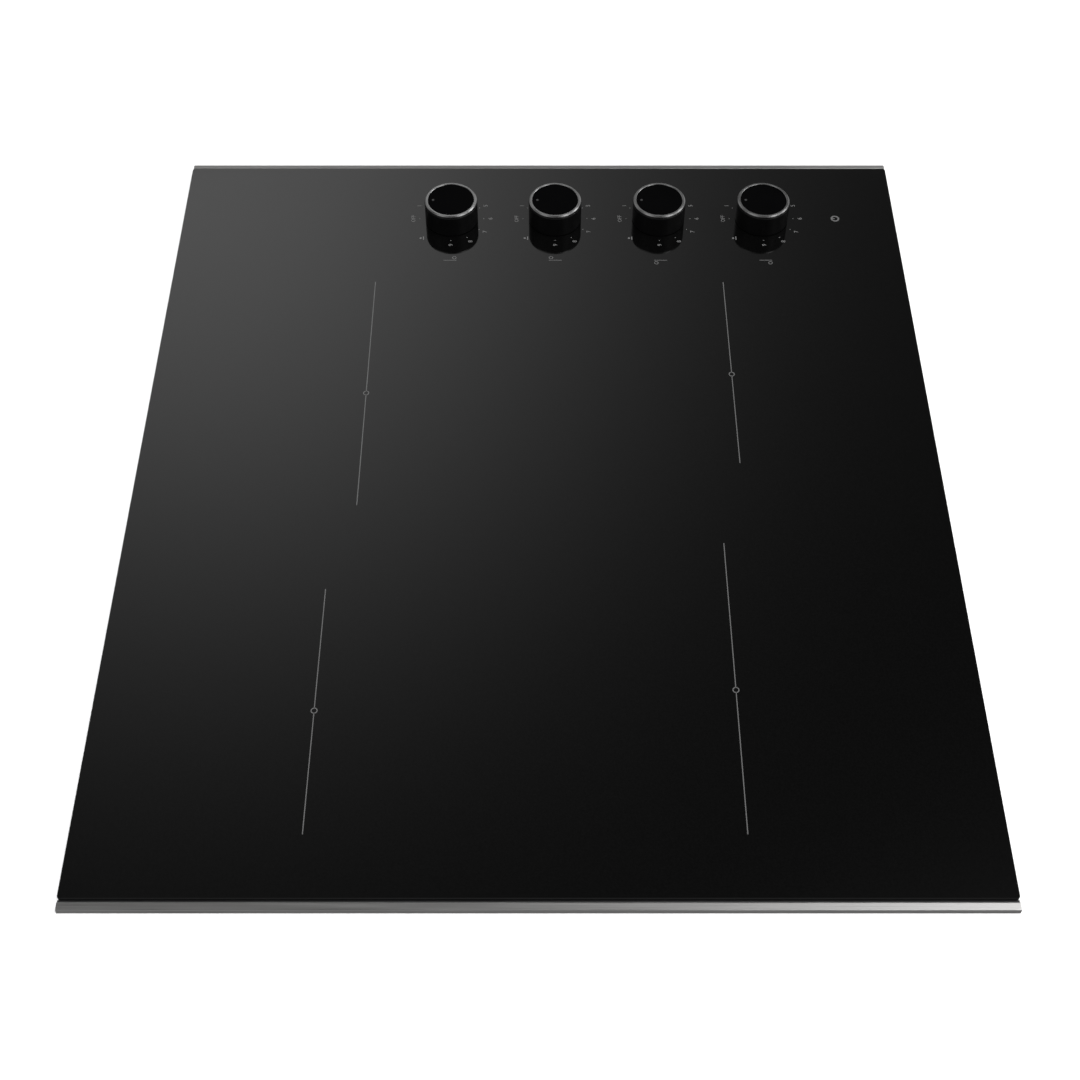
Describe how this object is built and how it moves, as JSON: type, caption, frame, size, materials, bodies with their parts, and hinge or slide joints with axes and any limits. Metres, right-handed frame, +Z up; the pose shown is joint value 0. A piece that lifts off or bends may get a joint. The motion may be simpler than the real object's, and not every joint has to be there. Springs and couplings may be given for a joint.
{
  "type": "electric ceramic cooktop",
  "caption": "Built-in radiant cooktop: black glass top with steel side trims, rotary knobs through the glass, heaters in a steel pan and swivelling worktop clamps.",
  "frame": {"origin": "middle of the worktop cut-out, on the worktop plane that the seal rests on", "axes": "+X to the cook's right, where the knobs are; +Y to the rear; +Z up out of the worktop"},
  "size_m": [0.6, 0.51, 0.0692],
  "materials": {
    "black_glass": "polished black glass-ceramic, opaque",
    "brushed_steel": "stainless sheet brushed along its length",
    "seal_foam": "closed-cell foam tape",
    "silicone_black": "black silicone",
    "coated_steel": "aluminium-zinc coated sheet",
    "zinc_steel": "zinc-plated steel",
    "spring_steel": "bare spring strip",
    "insulation_board": "pressed microporous insulation",
    "heating_alloy": "oxidised resistance ribbon",
    "steatite": "unglazed technical ceramic",
    "regulator_plastic": "moulded thermoset",
    "shaft_metal": "turned metal",
    "knob_black": "satin black moulding",
    "knob_chrome": "dark bright chrome",
    "disc_black": "smooth black insert",
    "lamp_red": "translucent red lens",
    "terminal_plastic": "moulded polyamide",
    "terminal_ceramic": "moulded terminal body",
    "bush_rubber": "soft rubber",
    "wire_silicone": "silicone-sleeved copper",
    "print_grey": "pale grey ceramic enamel, fired onto the glass"
  },
  "bodies": {
    "root": {"bottom_pan": "coated_steel", "cable_inlet": "bush_rubber", "clamp_screws": "zinc_steel", "control_bracket": "coated_steel", "energy_regulator_1": "regulator_plastic", "energy_regulator_2": "regulator_plastic", "energy_regulator_3": "regulator_plastic", "energy_regulator_4": "regulator_plastic", "glass_bond": "silicone_black", "glass_top": "black_glass", "heater_dish_front_left": "coated_steel", "heater_dish_front_right": "coated_steel", "heater_dish_rear_left": "coated_steel", "heater_dish_rear_right": "coated_steel", "heater_insulation_front_left": "insulation_board", "heater_insulation_front_right": "insulation_board", "heater_insulation_rear_left": "insulation_board", "heater_insulation_rear_right": "insulation_board", "heater_limiter_front_left": "steatite", "heater_limiter_front_right": "steatite", "heater_limiter_rear_left": "steatite", "heater_limiter_rear_right": "steatite", "heater_ribbon_front_left": "heating_alloy", "heater_ribbon_front_right": "heating_alloy", "heater_ribbon_rear_left": "heating_alloy", "heater_ribbon_rear_right": "heating_alloy", "heater_springs": "spring_steel", "heater_wiring": "wire_silicone", "indicator_lamp": "lamp_red", "pan_screws": "zinc_steel", "regulator_screws": "zinc_steel", "shaft_seals": "silicone_black", "side_trim_left": "brushed_steel", "side_trim_right": "brushed_steel", "support_frame": "coated_steel", "terminal_block": "terminal_ceramic", "terminal_housing": "terminal_plastic", "terminal_screws": "zinc_steel", "worktop_seal": "seal_foam"},
    "knob_1": {"knob_body_1": "knob_black", "knob_ring_1": "knob_chrome", "knob_disc_1": "disc_black", "control_shaft_1": "shaft_metal"},
    "knob_2": {"knob_body_2": "knob_black", "knob_ring_2": "knob_chrome", "knob_disc_2": "disc_black", "control_shaft_2": "shaft_metal"},
    "knob_3": {"knob_body_3": "knob_black", "knob_ring_3": "knob_chrome", "knob_disc_3": "disc_black", "control_shaft_3": "shaft_metal"},
    "knob_4": {"knob_body_4": "knob_black", "knob_ring_4": "knob_chrome", "knob_disc_4": "disc_black", "control_shaft_4": "shaft_metal"},
    "clamp_1": {"worktop_clamp_1": "zinc_steel"},
    "clamp_2": {"worktop_clamp_2": "zinc_steel"},
    "clamp_3": {"worktop_clamp_3": "zinc_steel"},
    "clamp_4": {"worktop_clamp_4": "zinc_steel"},
    "terminal_flap": {"terminal_cover": "terminal_plastic"}
  },
  "joints": [
    {"name": "knob_1_turn", "type": "hinge", "parent": "root", "child": "knob_1", "pos_m": [0.239, 0.0625, 0.0052], "axis": [0, 0, -1], "range_deg": [0, 315]},
    {"name": "knob_2_turn", "type": "hinge", "parent": "root", "child": "knob_2", "pos_m": [0.239, -0.0115, 0.0052], "axis": [0, 0, -1], "range_deg": [0, 315]},
    {"name": "knob_3_turn", "type": "hinge", "parent": "root", "child": "knob_3", "pos_m": [0.239, -0.0855, 0.0052], "axis": [0, 0, -1], "range_deg": [0, 315]},
    {"name": "knob_4_turn", "type": "hinge", "parent": "root", "child": "knob_4", "pos_m": [0.239, -0.1595, 0.0052], "axis": [0, 0, -1], "range_deg": [0, 315]},
    {"name": "clamp_1_swivel", "type": "hinge", "parent": "root", "child": "clamp_1", "pos_m": [-0.2685, 0.15, -0.0377], "axis": [0, 0, -1], "range_deg": [0, 90]},
    {"name": "clamp_2_swivel", "type": "hinge", "parent": "root", "child": "clamp_2", "pos_m": [-0.2685, -0.15, -0.0377], "axis": [0, 0, 1], "range_deg": [0, 90]},
    {"name": "clamp_3_swivel", "type": "hinge", "parent": "root", "child": "clamp_3", "pos_m": [0.2685, 0.15, -0.0377], "axis": [0, 0, 1], "range_deg": [0, 90]},
    {"name": "clamp_4_swivel", "type": "hinge", "parent": "root", "child": "clamp_4", "pos_m": [0.2685, -0.15, -0.0377], "axis": [0, 0, -1], "range_deg": [0, 90]},
    {"name": "terminal_cover_fold", "type": "hinge", "parent": "root", "child": "terminal_flap", "pos_m": [0.182, 0.2399, -0.0424], "axis": [-1, 0, 0], "range_deg": [0, 90]}
  ]
}
